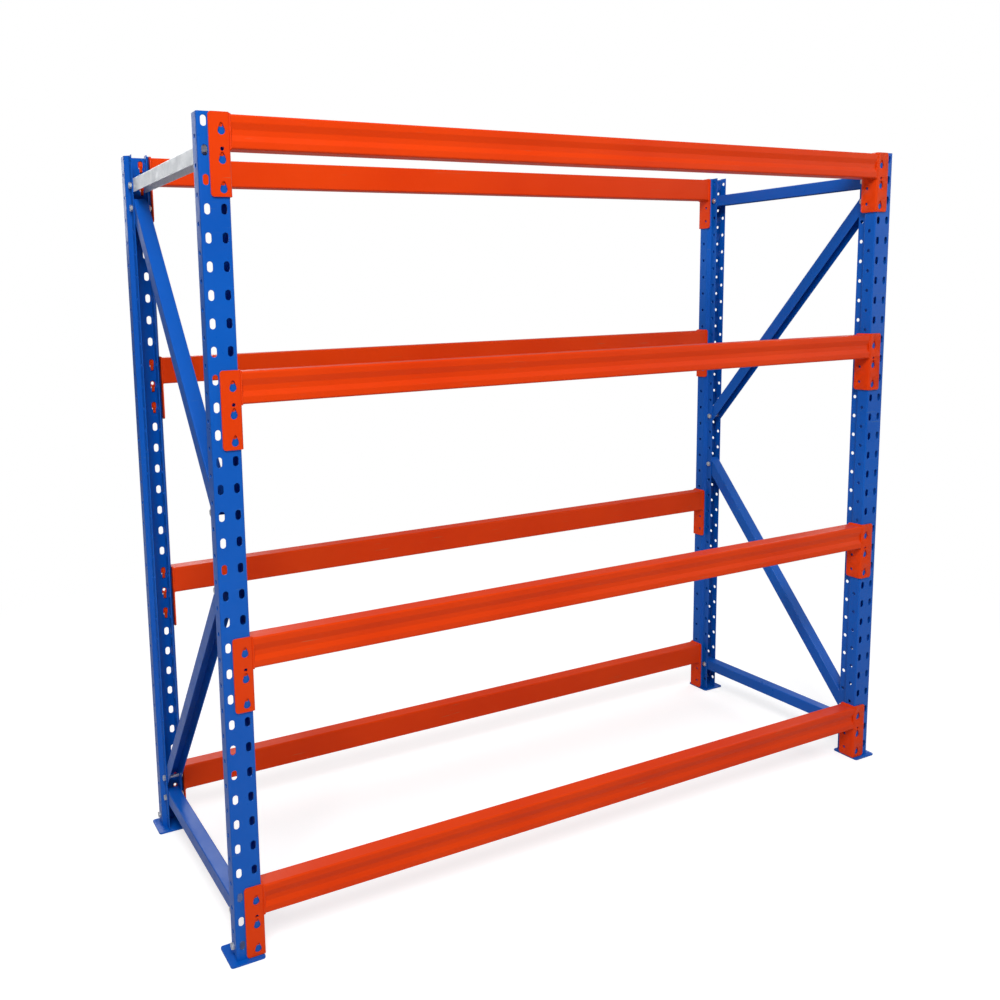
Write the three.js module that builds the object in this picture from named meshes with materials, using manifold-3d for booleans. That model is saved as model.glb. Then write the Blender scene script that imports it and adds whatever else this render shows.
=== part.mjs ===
// Tyre storage rack: four levels of hook-on beams between two bolted end frames.
// Millimetres, +Z up. X runs along the rack and the front faces -Y. The origin is on the
// floor, under the middle of the rack.
import * as THREE from "three";
import { mergeVertices } from "three/addons/utils/BufferGeometryUtils.js";
import Module from "manifold-3d";

const wasm = await Module();
wasm.setup();

// Rack
const RACK_LENGTH = 1800;
const FRAME_DEPTH = 600;
const RACK_HEIGHT = 1600;
const FIT = 0.3;

// Upright: a rolled section with a wide front and a narrower neck that takes the braces
const POST_WIDTH = 56;
const POST_DEPTH = 55;
const POST_WALL = 2;
const NECK_WIDTH = 36;
const STEP_START = 30;
const STEP_END = 36;

// Slots in two columns down the upright's web
const SLOT_PITCH = 50;
const SLOT_WIDTH = 11;
const SLOT_HEIGHT = 19;
const SLOT_INSET = 12.5;
const TOP_SLOT_DROP = 16;

// Foot: a floor plate with a tongue inside the upright
const FOOT_THICKNESS = 4;
const FOOT_OUTER_OVERHANG = 15;
const FOOT_FRONT_OVERHANG = 12;
const FOOT_INNER_OVERHANG = 6;
const TONGUE_WIDTH = 22;
const TONGUE_HEIGHT = 45;
const TONGUE_THICKNESS = 3;
const TONGUE_DEPTH = 16;
const FOOT_BOLT_HEIGHT = 28;

// Connector: an L plate with three pressed hooks, welded to each end of a beam
const CONNECTOR_THICKNESS = 3;
const CONNECTOR_FRONT_WIDTH = 36;
const CONNECTOR_SIDE_DEPTH = 40;
const CONNECTOR_ABOVE_SLOT = 16;
const CONNECTOR_BELOW_SLOT = 29;
const HOOK_COUNT = 3;
const HOOK_WIDTH = 6;
const HOOK_NECK_HEIGHT = 7;
const HOOK_DROP = 8;
const HOOK_THICKNESS = 3;
const HOOK_CLEARANCE = 0.5;
const HOOK_CHAMFER = 2;
const WINDOW_HEIGHT = 21;
const WINDOW_TOP_WIDTH = 5;
const WINDOW_WIDTH = 14;

// Beam: a closed tube with a stiffening groove along its front
const BEAM_HEIGHT = 60;
const BEAM_DEPTH = 40;
const BEAM_WALL = 1.5;
const BEAM_TOP_DROP = 3;
const GROOVE_DEPTH = 3.5;
const GROOVE_LOW = 14;
const GROOVE_FLOOR_LOW = 24;
const GROOVE_FLOOR_HIGH = 34;
const GROOVE_HIGH = 46;
const LEVEL_ROWS = 10;
const LOWER_LEVELS = 3;

// Bracing: channels between the necks of a frame's two uprights
const BRACE_HEIGHT = 30;
const BRACE_WALL = 1.5;
const BRACE_END_MARGIN = 14;
const BRACE_END_ROWS = 1;
const BRACE_MIDDLE_ROWS = 3;
const BOLT_DEPTH = 46;

// Hexagon bolt with its nut
const BOLT_RADIUS = 4;
const BOLT_HOLE_CLEARANCE = 0.6;
const BOLT_HEAD_RADIUS = 7.5;
const BOLT_HEAD_HEIGHT = 5.3;
const HEX_SIDES = 6;

const NECK_INNER_WIDTH = NECK_WIDTH - 2 * POST_WALL;
const BRACE_WIDTH = NECK_INNER_WIDTH - 2 * FIT;
const POST_BOTTOM = FOOT_THICKNESS + FIT;
const TOP_SLOT = RACK_HEIGHT - TOP_SLOT_DROP;
const LOWEST_SLOT_LIMIT = POST_BOTTOM + CONNECTOR_BELOW_SLOT;
const SLOT_ROWS = Math.floor((TOP_SLOT - LOWEST_SLOT_LIMIT) / SLOT_PITCH) + 1;
const POST_CENTRE = (RACK_LENGTH - POST_WIDTH) / 2;
const SLOT_OFFSET = POST_WIDTH / 2 - SLOT_INSET;
const CONNECTOR_OUTER_FACE = FIT + CONNECTOR_THICKNESS;
const BEAM_LENGTH = RACK_LENGTH - 2 * (POST_WIDTH + CONNECTOR_OUTER_FACE + FIT);
const CONNECTOR_SPAN = (HOOK_COUNT - 1) * SLOT_PITCH;
const BOLT_HOLE_RADIUS = BOLT_RADIUS + BOLT_HOLE_CLEARANCE;
const BOLT_HALF_SPAN = FRAME_DEPTH / 2 - BOLT_DEPTH;

// Colours and finishes
const BLUE_PAINT = { color: 0x0b4fc0, roughness: 0.42, metalness: 0.1 };
const ORANGE_PAINT = { color: 0xf04812, roughness: 0.4, metalness: 0.1 };
const ZINC = { color: 0xc3c7cc, roughness: 0.35, metalness: 0.9 };

// A shape drawn as (depth, height) and pushed along X
const DEPTH_HEIGHT_TO_X = new THREE.Matrix4().makeBasis(
  new THREE.Vector3(0, 1, 0),
  new THREE.Vector3(0, 0, 1),
  new THREE.Vector3(1, 0, 0),
);

function solid(geometry) {
  const bare = geometry.clone();
  bare.deleteAttribute("normal");
  bare.deleteAttribute("uv");
  const merged = mergeVertices(bare, 1e-4);
  const mesh = new wasm.Mesh({
    numProp: 3,
    vertProperties: new Float32Array(merged.attributes.position.array),
    triVerts: new Uint32Array(merged.index.array),
  });
  return new wasm.Manifold(mesh);
}

function geometryOf(body) {
  const mesh = body.getMesh();
  const geometry = new THREE.BufferGeometry();
  geometry.setAttribute("position", new THREE.BufferAttribute(mesh.vertProperties, 3));
  geometry.setIndex(new THREE.BufferAttribute(mesh.triVerts, 1));
  geometry.computeVertexNormals();
  return geometry;
}

function outline(points) {
  return new THREE.Shape(points.map(([x, y]) => new THREE.Vector2(x, y)));
}

function prism(points, length) {
  return new THREE.ExtrudeGeometry(outline(points), { depth: length, bevelEnabled: false });
}

function prismAlongX(points, length) {
  return prism(points, length).applyMatrix4(DEPTH_HEIGHT_TO_X).translate(-length / 2, 0, 0);
}

function prismAlongY(points, start, end) {
  return prism(points, end - start).rotateX(Math.PI / 2).translate(0, end, 0);
}

function barAlongX(radius, length) {
  return new THREE.CylinderGeometry(radius, radius, length, HEX_SIDES).rotateZ(Math.PI / 2);
}

function named(name, geometry, finish) {
  const mesh = new THREE.Mesh(geometry, new THREE.MeshStandardMaterial(finish));
  mesh.name = name;
  return mesh;
}

// Heights of the bolts in an upright, each in line with a slot row. The diagonals of a frame
// meet one upright near its ends and the other near its middle.
function boltHeights(meetsMiddle) {
  const top = BRACE_END_ROWS;
  const bottom = SLOT_ROWS - 1 - BRACE_END_ROWS;
  const upperMiddle = Math.floor((SLOT_ROWS - BRACE_MIDDLE_ROWS) / 2);
  const upper = meetsMiddle ? upperMiddle : top + 1;
  const lower = meetsMiddle ? upperMiddle + BRACE_MIDDLE_ROWS : bottom - 1;
  return [top, upper, lower, bottom].map((row) => TOP_SLOT - row * SLOT_PITCH);
}

// Upright, its web's outer face at depth 0 and its mouth towards +Y
function upright(meetsMiddle, outerSide) {
  const half = POST_WIDTH / 2;
  const neck = NECK_WIDTH / 2;
  const rightOuter = [[half, 0], [half, STEP_START], [neck, STEP_END], [neck, POST_DEPTH]];
  const rightInner = [
    [neck - POST_WALL, POST_DEPTH],
    [neck - POST_WALL, STEP_END - POST_WALL / 2],
    [half - POST_WALL, STEP_START - POST_WALL / 2],
    [half - POST_WALL, POST_WALL],
  ];
  const right = [...rightOuter, ...rightInner];
  const left = right.map(([x, y]) => [-x, y]).reverse();
  const section = prism([...right, ...left], RACK_HEIGHT - POST_BOTTOM);
  let body = solid(section.translate(0, 0, POST_BOTTOM));
  for (let row = 0; row < SLOT_ROWS; row++) {
    for (const column of [-SLOT_OFFSET, SLOT_OFFSET]) {
      const slot = new THREE.BoxGeometry(SLOT_WIDTH, 4 * POST_WALL, SLOT_HEIGHT);
      body = body.subtract(solid(slot.translate(column, 0, TOP_SLOT - row * SLOT_PITCH)));
    }
  }
  for (const height of boltHeights(meetsMiddle)) {
    const hole = barAlongX(BOLT_HOLE_RADIUS, POST_WIDTH).translate(0, BOLT_DEPTH, height);
    body = body.subtract(solid(hole));
  }
  const footHole = barAlongX(BOLT_HOLE_RADIUS, 4 * POST_WALL);
  footHole.translate(outerSide * half, TONGUE_DEPTH, FOOT_BOLT_HEIGHT);
  return geometryOf(body.subtract(solid(footHole)));
}

// Foot: floor plate and the tongue that stands against the inside of the outer wall
function foot(outerSide) {
  const half = POST_WIDTH / 2;
  const width = POST_WIDTH + FOOT_OUTER_OVERHANG;
  const depth = FOOT_FRONT_OVERHANG + POST_DEPTH + FOOT_INNER_OVERHANG;
  const plate = new THREE.BoxGeometry(width, depth, FOOT_THICKNESS);
  const plateX = outerSide * FOOT_OUTER_OVERHANG / 2;
  plate.translate(plateX, depth / 2 - FOOT_FRONT_OVERHANG, FOOT_THICKNESS / 2);
  const tongueX = outerSide * (half - POST_WALL - FIT - TONGUE_THICKNESS / 2);
  const tongueTop = FOOT_THICKNESS + TONGUE_HEIGHT;
  const tongue = new THREE.BoxGeometry(TONGUE_THICKNESS, TONGUE_WIDTH, tongueTop);
  tongue.translate(tongueX, TONGUE_DEPTH, tongueTop / 2);
  const hole = barAlongX(BOLT_HOLE_RADIUS, 4 * TONGUE_THICKNESS);
  hole.translate(tongueX, TONGUE_DEPTH, FOOT_BOLT_HEIGHT);
  return geometryOf(solid(plate).add(solid(tongue)).subtract(solid(hole)));
}

// Hexagon bolt and nut clamping a stack as thick as grip
function bolt(grip) {
  const stack = grip + 2 * FIT;
  const headX = (stack + BOLT_HEAD_HEIGHT) / 2;
  const head = barAlongX(BOLT_HEAD_RADIUS, BOLT_HEAD_HEIGHT).translate(headX, 0, 0);
  const nut = barAlongX(BOLT_HEAD_RADIUS, BOLT_HEAD_HEIGHT).translate(-headX, 0, 0);
  const shank = barAlongX(BOLT_RADIUS, stack + BOLT_HEAD_HEIGHT);
  return geometryOf(solid(shank).add(solid(head)).add(solid(nut)));
}

// Hook: a neck that rests on the slot's lower edge and a tab that drops behind the web
function hook(centre) {
  const seat = centre - SLOT_HEIGHT / 2 + FIT;
  const neckTop = seat + HOOK_NECK_HEIGHT + HOOK_CHAMFER;
  const back = POST_WALL + HOOK_CLEARANCE;
  const rear = back + HOOK_THICKNESS;
  const front = -FIT - CONNECTOR_THICKNESS / 2;
  const side = [
    [front, neckTop],
    [back, neckTop],
    [rear, neckTop - HOOK_CHAMFER],
    [rear, seat - HOOK_DROP],
    [back, seat - HOOK_DROP],
    [back, seat],
    [0, seat],
    [front, seat + HOOK_NECK_HEIGHT],
  ];
  return prismAlongX(side, HOOK_WIDTH);
}

// Window: the opening that a pressed hook leaves under itself in the plate
function windowCut(centre) {
  const top = centre - SLOT_HEIGHT / 2 + FIT + HOOK_NECK_HEIGHT;
  const bottom = top - WINDOW_HEIGHT;
  const wide = top - WINDOW_HEIGHT / 2;
  const low = bottom + WINDOW_WIDTH / 4;
  const narrow = WINDOW_TOP_WIDTH / 2;
  const half = WINDOW_WIDTH / 2;
  const points = [
    [-narrow, top],
    [-half, wide],
    [-half, low],
    [0, bottom],
    [half, low],
    [half, wide],
    [narrow, top],
  ];
  return prismAlongY(points, -CONNECTOR_OUTER_FACE - 1, -FIT + 1);
}

// Connector for an upright at the origin; baySide is the side that the beam leaves from
function connector(baySide, topSlot) {
  const edge = POST_WIDTH / 2;
  const plateTop = topSlot + CONNECTOR_ABOVE_SLOT;
  const plateBottom = topSlot - CONNECTOR_SPAN - CONNECTOR_BELOW_SLOT;
  const section = [
    [edge - CONNECTOR_FRONT_WIDTH, -CONNECTOR_OUTER_FACE],
    [edge + CONNECTOR_OUTER_FACE, -CONNECTOR_OUTER_FACE],
    [edge + CONNECTOR_OUTER_FACE, CONNECTOR_SIDE_DEPTH],
    [edge + FIT, CONNECTOR_SIDE_DEPTH],
    [edge + FIT, -FIT],
    [edge - CONNECTOR_FRONT_WIDTH, -FIT],
  ].map(([x, y]) => [baySide * x, y]);
  let body = solid(prism(section, plateTop - plateBottom).translate(0, 0, plateBottom));
  for (let index = 0; index < HOOK_COUNT; index++) {
    const centre = topSlot - index * SLOT_PITCH;
    body = body.subtract(solid(windowCut(centre).translate(baySide * SLOT_OFFSET, 0, 0)));
    body = body.add(solid(hook(centre).translate(baySide * SLOT_OFFSET, 0, 0)));
  }
  return geometryOf(body);
}

// Beam section as (depth, height) points, drawn in by inset for the inside of the tube
function beamSection(inset) {
  return [
    [inset, inset],
    [inset, GROOVE_LOW],
    [GROOVE_DEPTH + inset, GROOVE_FLOOR_LOW],
    [GROOVE_DEPTH + inset, GROOVE_FLOOR_HIGH],
    [inset, GROOVE_HIGH],
    [inset, BEAM_HEIGHT - inset],
    [BEAM_DEPTH - inset, BEAM_HEIGHT - inset],
    [BEAM_DEPTH - inset, inset],
  ];
}

function beam() {
  const outside = solid(prismAlongX(beamSection(0), BEAM_LENGTH));
  const inside = solid(prismAlongX(beamSection(BEAM_WALL), BEAM_LENGTH + 2 * BEAM_WALL));
  return geometryOf(outside.subtract(inside));
}

// Brace: a channel open downwards, running along Y, with a bolt hole through each end
function brace(boltSpan) {
  const half = BRACE_WIDTH / 2;
  const low = -BRACE_HEIGHT / 2;
  const high = BRACE_HEIGHT / 2;
  const section = [
    [-half, low],
    [-half, high],
    [half, high],
    [half, low],
    [half - BRACE_WALL, low],
    [half - BRACE_WALL, high - BRACE_WALL],
    [BRACE_WALL - half, high - BRACE_WALL],
    [BRACE_WALL - half, low],
  ];
  const reach = boltSpan / 2 + BRACE_END_MARGIN;
  let body = solid(prismAlongY(section, -reach, reach));
  for (const end of [-boltSpan / 2, boltSpan / 2]) {
    body = body.subtract(solid(barAlongX(BOLT_HOLE_RADIUS, 2 * BRACE_WIDTH).translate(0, end, 0)));
  }
  return geometryOf(body);
}

const rack = new THREE.Group();

const lowestRow = SLOT_ROWS - HOOK_COUNT;
const levelRows = [0];
for (let level = LOWER_LEVELS - 1; level >= 0; level--) {
  levelRows.push(lowestRow - level * LEVEL_ROWS);
}
levelRows.reverse();

// Front and rear faces: the rear is the front turned half a turn about Z
for (const face of ["front", "rear"]) {
  const faceGroup = new THREE.Group();
  faceGroup.rotation.z = face === "rear" ? Math.PI : 0;
  rack.add(faceGroup);

  for (const side of [-1, 1]) {
    const place = (face === "front") === (side < 0) ? "left" : "right";
    const post = new THREE.Group();
    post.position.set(side * POST_CENTRE, -FRAME_DEPTH / 2, 0);
    faceGroup.add(post);

    const meetsMiddle = side < 0;
    post.add(named(`upright_${face}_${place}`, upright(meetsMiddle, side), BLUE_PAINT));
    post.add(named(`foot_${face}_${place}`, foot(side), BLUE_PAINT));

    const footBolt = named(
      `foot_bolt_${face}_${place}`,
      bolt(POST_WALL + FIT + TONGUE_THICKNESS),
      ZINC,
    );
    const stackMiddle = POST_WIDTH / 2 - (POST_WALL + FIT + TONGUE_THICKNESS) / 2;
    footBolt.position.set(side * stackMiddle, TONGUE_DEPTH, FOOT_BOLT_HEIGHT);
    post.add(footBolt);

    levelRows.forEach((row, index) => {
      const plate = connector(-side, TOP_SLOT - row * SLOT_PITCH);
      post.add(named(`connector_${face}_${index + 1}_${place}`, plate, ORANGE_PAINT));
    });
  }

  levelRows.forEach((row, index) => {
    const tube = named(`beam_${face}_${index + 1}`, beam(), ORANGE_PAINT);
    const top = TOP_SLOT - row * SLOT_PITCH + CONNECTOR_ABOVE_SLOT - BEAM_TOP_DROP;
    tube.position.set(0, -FRAME_DEPTH / 2 - CONNECTOR_OUTER_FACE, top - BEAM_HEIGHT);
    faceGroup.add(tube);
  });
}

// End frames' bracing: the right frame is the left frame turned half a turn about Z
for (const place of ["left", "right"]) {
  const frame = new THREE.Group();
  frame.rotation.z = place === "right" ? Math.PI : 0;
  rack.add(frame);

  const [topZ, upperMiddle, lowerMiddle, bottomZ] = boltHeights(true);
  const [, upperEnd, lowerEnd] = boltHeights(false);
  const runs = [
    ["brace_top", topZ, topZ],
    ["diagonal_upper", upperMiddle, upperEnd],
    ["diagonal_lower", lowerMiddle, lowerEnd],
    ["brace_bottom", bottomZ, bottomZ],
  ];
  runs.forEach(([name, frontZ, rearZ], index) => {
    const rise = rearZ - frontZ;
    const run = 2 * BOLT_HALF_SPAN;
    const channel = named(`${name}_${place}`, brace(Math.hypot(run, rise)), BLUE_PAINT);
    channel.position.set(-POST_CENTRE, 0, (frontZ + rearZ) / 2);
    channel.rotation.x = Math.atan2(rise, run);
    frame.add(channel);

    [[-BOLT_HALF_SPAN, frontZ], [BOLT_HALF_SPAN, rearZ]].forEach(([y, z], end) => {
      const fixing = named(`bolt_${place}_${2 * index + end + 1}`, bolt(NECK_WIDTH), ZINC);
      fixing.position.set(-POST_CENTRE, y, z);
      frame.add(fixing);
    });
  });
}

export default rack;
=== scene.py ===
import math

import bmesh
import bpy
from mathutils import Matrix, Vector


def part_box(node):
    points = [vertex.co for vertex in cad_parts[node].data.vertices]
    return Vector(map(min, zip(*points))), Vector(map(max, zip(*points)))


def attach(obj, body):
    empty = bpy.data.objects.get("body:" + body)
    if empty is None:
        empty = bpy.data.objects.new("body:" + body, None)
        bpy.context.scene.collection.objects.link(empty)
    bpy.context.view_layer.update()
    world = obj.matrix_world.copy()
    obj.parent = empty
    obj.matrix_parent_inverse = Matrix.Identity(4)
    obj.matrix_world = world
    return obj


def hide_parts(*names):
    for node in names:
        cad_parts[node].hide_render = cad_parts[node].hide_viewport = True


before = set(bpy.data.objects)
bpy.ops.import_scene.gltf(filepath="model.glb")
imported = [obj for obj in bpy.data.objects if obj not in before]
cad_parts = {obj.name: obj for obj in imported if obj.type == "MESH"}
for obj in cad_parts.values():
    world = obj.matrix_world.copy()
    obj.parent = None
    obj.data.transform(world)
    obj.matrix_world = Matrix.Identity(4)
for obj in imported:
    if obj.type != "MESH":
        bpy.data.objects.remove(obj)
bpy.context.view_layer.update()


# ---------------------------------------------------------------------------
# Studio: a pale floor that fades to white away from the rack, a large key light
# high on the left, softer lights on the right and behind, and a soft sky that
# the camera sees as plain white.
# ---------------------------------------------------------------------------
def deselect_all():
    if bpy.context.object and bpy.context.object.mode != "OBJECT":
        bpy.ops.object.mode_set(mode="OBJECT")
    bpy.ops.object.select_all(action="DESELECT")


scene = bpy.context.scene
scene.view_settings.view_transform = "Standard"

deselect_all()
FLOOR_SIZE = 40.0
FLOOR_GREY = 0.55
bpy.ops.mesh.primitive_plane_add(size=FLOOR_SIZE, location=(0, 0, 0))
floor = bpy.context.object
floor.name = "studio_floor"
floor_material = bpy.data.materials.new("studio_white")
floor_material.use_nodes = True
floor_nodes = floor_material.node_tree.nodes
floor_links = floor_material.node_tree.links
floor_shader = floor_nodes["Principled BSDF"]
floor_shader.inputs["Base Color"].default_value = (FLOOR_GREY, FLOOR_GREY, FLOOR_GREY, 1)
floor_shader.inputs["Roughness"].default_value = 0.9
floor_shader.inputs["Emission Color"].default_value = (1, 1, 1, 1)
floor_output = floor_nodes["Material Output"]
FADE_START = 1.1
FADE_END = 2.6
FLOOR_LIFT = 0.62
floor_place = floor_nodes.new("ShaderNodeTexCoord")
floor_distance = floor_nodes.new("ShaderNodeVectorMath")
floor_distance.operation = "LENGTH"
floor_fade = floor_nodes.new("ShaderNodeMapRange")
floor_fade.interpolation_type = "SMOOTHSTEP"
floor_fade.inputs["From Min"].default_value = FADE_START
floor_fade.inputs["From Max"].default_value = FADE_END
floor_ray = floor_nodes.new("ShaderNodeLightPath")
floor_factor = floor_nodes.new("ShaderNodeMath")
floor_factor.operation = "MULTIPLY"
floor_lift = floor_nodes.new("ShaderNodeMath")
floor_lift.operation = "MULTIPLY"
floor_lift.inputs[1].default_value = FLOOR_LIFT
floor_white = floor_nodes.new("ShaderNodeEmission")
floor_mix = floor_nodes.new("ShaderNodeMixShader")
floor_links.new(floor_place.outputs["Object"], floor_distance.inputs[0])
floor_links.new(floor_distance.outputs["Value"], floor_fade.inputs["Value"])
floor_links.new(floor_ray.outputs["Is Camera Ray"], floor_lift.inputs[0])
floor_links.new(floor_lift.outputs[0], floor_shader.inputs["Emission Strength"])
floor_links.new(floor_fade.outputs["Result"], floor_factor.inputs[0])
floor_links.new(floor_ray.outputs["Is Camera Ray"], floor_factor.inputs[1])
floor_links.new(floor_factor.outputs[0], floor_mix.inputs["Fac"])
floor_links.new(floor_shader.outputs["BSDF"], floor_mix.inputs[1])
floor_links.new(floor_white.outputs["Emission"], floor_mix.inputs[2])
floor_links.new(floor_mix.outputs["Shader"], floor_output.inputs["Surface"])
floor.data.materials.append(floor_material)

world = bpy.data.worlds.new("studio_world")
scene.world = world
world.use_nodes = True
world_nodes = world.node_tree.nodes
world_links = world.node_tree.links
world_nodes.clear()
light_path = world_nodes.new("ShaderNodeLightPath")
seen_white = world_nodes.new("ShaderNodeBackground")
seen_white.inputs["Color"].default_value = (1, 1, 1, 1)
seen_white.inputs["Strength"].default_value = 1.0
soft_sky = world_nodes.new("ShaderNodeBackground")
soft_sky.inputs["Color"].default_value = (0.93, 0.96, 1.0, 1)
soft_sky.inputs["Strength"].default_value = 0.22
sky_mix = world_nodes.new("ShaderNodeMixShader")
world_output = world_nodes.new("ShaderNodeOutputWorld")
world_links.new(light_path.outputs["Is Camera Ray"], sky_mix.inputs["Fac"])
world_links.new(soft_sky.outputs[0], sky_mix.inputs[1])
world_links.new(seen_white.outputs[0], sky_mix.inputs[2])
world_links.new(sky_mix.outputs[0], world_output.inputs["Surface"])


def area_light(name, place, aim, size, power):
    lamp = bpy.data.lights.new(name, "AREA")
    lamp.shape = "SQUARE"
    lamp.size = size
    lamp.energy = power
    holder = bpy.data.objects.new(name, lamp)
    scene.collection.objects.link(holder)
    holder.location = place
    holder.rotation_euler = (Vector(aim) - Vector(place)).to_track_quat("-Z", "Y").to_euler()


RACK_MIDDLE = (0, 0, 0.8)
area_light("key_light", (-1.9, -2.9, 4.0), (0, 0, 1.3), 2.0, 176)
area_light("fill_light", (4.2, -3.0, 2.2), RACK_MIDDLE, 3.5, 30)
area_light("back_light", (-0.6, 4.2, 3.0), RACK_MIDDLE, 3.0, 80)
area_light("side_light", (4.6, 1.2, 2.4), RACK_MIDDLE, 2.5, 60)

# The camera stands at eye height off the rack's left front corner.
CAMERA_PLACE = Vector((-1.413, -2.015, 1.274))
CAMERA_YAW = 0.4607
CAMERA_PITCH = 0.1374
CAMERA_ROLL = -0.0252
SENSOR = 36.0
LENS = 35.67
SHIFT_X = 0.12
SHIFT_Y = -0.066
ahead = Vector((
    math.sin(CAMERA_YAW) * math.cos(CAMERA_PITCH),
    math.cos(CAMERA_YAW) * math.cos(CAMERA_PITCH),
    -math.sin(CAMERA_PITCH),
))
level_right = Vector((math.cos(CAMERA_YAW), -math.sin(CAMERA_YAW), 0))
level_up = level_right.cross(ahead)
rolled_right = level_right * math.cos(CAMERA_ROLL) + level_up * math.sin(CAMERA_ROLL)
rolled_up = level_up * math.cos(CAMERA_ROLL) - level_right * math.sin(CAMERA_ROLL)
camera_turn = Matrix((rolled_right, rolled_up, -ahead)).transposed().to_4x4()
lens = bpy.data.cameras.new("camera")
lens.sensor_width = SENSOR
lens.lens = LENS
lens.shift_x = SHIFT_X
lens.shift_y = SHIFT_Y
lens.clip_start = 0.05
camera = bpy.data.objects.new("camera", lens)
camera.matrix_world = Matrix.Translation(CAMERA_PLACE) @ camera_turn
scene.collection.objects.link(camera)
scene.camera = camera


# ---------------------------------------------------------------------------
# Finishes: powder coat over steel, blue on the frames and orange on the beams,
# and zinc plating on the bolts. The left top brace has a pale zinc finish whose
# whiteness is partly painted highlight, standing in for the sheen on its top;
# its twin on the right is coated blue. The coat has the faint orange
# peel and dust of a stove-enamelled part, and a few light scuffs.
# ---------------------------------------------------------------------------
def new_group(name, number_inputs, outputs):
    group = bpy.data.node_groups.new(name, "ShaderNodeTree")
    for label, value in number_inputs:
        socket = group.interface.new_socket(label, in_out="INPUT", socket_type="NodeSocketFloat")
        socket.default_value = value
    for label, kind in outputs:
        group.interface.new_socket(label, in_out="OUTPUT", socket_type=kind)
    return group, group.nodes.new("NodeGroupInput"), group.nodes.new("NodeGroupOutput")


def add_noise(tree, place, scale, detail, roughness=0.5):
    noise = tree.nodes.new("ShaderNodeTexNoise")
    noise.inputs["Scale"].default_value = scale
    noise.inputs["Detail"].default_value = detail
    noise.inputs["Roughness"].default_value = roughness
    tree.links.new(place, noise.inputs["Vector"])
    return noise.outputs["Fac"]


def add_range(tree, value, low, high, out_low=0.0, out_high=1.0):
    node = tree.nodes.new("ShaderNodeMapRange")
    node.inputs["From Min"].default_value = low
    node.inputs["From Max"].default_value = high
    node.inputs["To Min"].default_value = out_low
    node.inputs["To Max"].default_value = out_high
    tree.links.new(value, node.inputs["Value"])
    return node.outputs["Result"]


def add_math(tree, operation, first, second):
    node = tree.nodes.new("ShaderNodeMath")
    node.operation = operation
    for socket, value in zip(node.inputs, (first, second)):
        if isinstance(value, (int, float)):
            socket.default_value = value
        else:
            tree.links.new(value, socket)
    return node.outputs[0]


# Scuffs: rare thin marks where tyres and hands have rubbed the coat, drawn by a noise
# stretched along the piece and shown only where a broad second noise is high
scuffs, scuffs_in, scuffs_out = new_group(
    "scuffs", [("Amount", 0.5)], [("Mask", "NodeSocketFloat")]
)
scuff_place = scuffs.nodes.new("ShaderNodeTexCoord").outputs["Object"]
scuff_stretch = scuffs.nodes.new("ShaderNodeMapping")
scuff_stretch.inputs["Rotation"].default_value = (0.3, 0.5, 0.2)
scuff_stretch.inputs["Scale"].default_value = (14.0, 90.0, 260.0)
scuffs.links.new(scuff_place, scuff_stretch.inputs["Vector"])
streaks = add_noise(scuffs, scuff_stretch.outputs["Vector"], 1.0, 2.0)
streaks = add_range(scuffs, streaks, 0.66, 0.72)
rubbed = add_range(scuffs, add_noise(scuffs, scuff_place, 7.0, 3.0), 0.52, 0.64)
marks = add_math(scuffs, "MULTIPLY", streaks, rubbed)
marks = add_math(scuffs, "MULTIPLY", marks, scuffs_in.outputs["Amount"])
scuffs.links.new(marks, scuffs_out.inputs["Mask"])

# Coat surface: orange peel for the bump, and dull dusty patches for the roughness
coat_surface, coat_in, coat_out = new_group(
    "coat_surface",
    [("Peel", 0.3), ("Dust", 0.4)],
    [("Height", "NodeSocketFloat"), ("Dull", "NodeSocketFloat"), ("Shade", "NodeSocketFloat")],
)
coat_place = coat_surface.nodes.new("ShaderNodeTexCoord").outputs["Object"]
peel = add_noise(coat_surface, coat_place, 420.0, 2.0)
wave = add_noise(coat_surface, coat_place, 26.0, 1.0)
height = add_math(coat_surface, "ADD", add_math(coat_surface, "MULTIPLY", peel, 0.45), wave)
height = add_math(coat_surface, "MULTIPLY", height, coat_in.outputs["Peel"])
patch = add_range(coat_surface, add_noise(coat_surface, coat_place, 9.0, 6.0, 0.62), 0.38, 0.7)
grime = add_range(coat_surface, add_noise(coat_surface, coat_place, 85.0, 5.0, 0.7), 0.4, 0.75)
dull = add_math(coat_surface, "MULTIPLY", add_math(coat_surface, "ADD", patch, grime), 0.5)
dull = add_math(coat_surface, "MULTIPLY", dull, coat_in.outputs["Dust"])
shade = add_range(coat_surface, add_noise(coat_surface, coat_place, 3.2, 3.0), 0.3, 0.7)
coat_surface.links.new(height, coat_out.inputs["Height"])
coat_surface.links.new(dull, coat_out.inputs["Dull"])
coat_surface.links.new(shade, coat_out.inputs["Shade"])


# Sockets of a colour mix node: its factor, its two colours and its result
MIX_FACTOR = 0
MIX_FIRST = 6
MIX_SECOND = 7
MIX_RESULT = 2


def add_mix(tree, factor, first, second):
    node = tree.nodes.new("ShaderNodeMix")
    node.data_type = "RGBA"
    tree.links.new(factor, node.inputs[MIX_FACTOR])
    for number, value in ((MIX_FIRST, first), (MIX_SECOND, second)):
        socket = node.inputs[number]
        if isinstance(value, tuple):
            socket.default_value = value
        else:
            tree.links.new(value, socket)
    return node.outputs[MIX_RESULT]


COAT_PEEL = 0.35
COAT_DUST = 0.22
SCUFF_DULLNESS = 0.15


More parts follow.
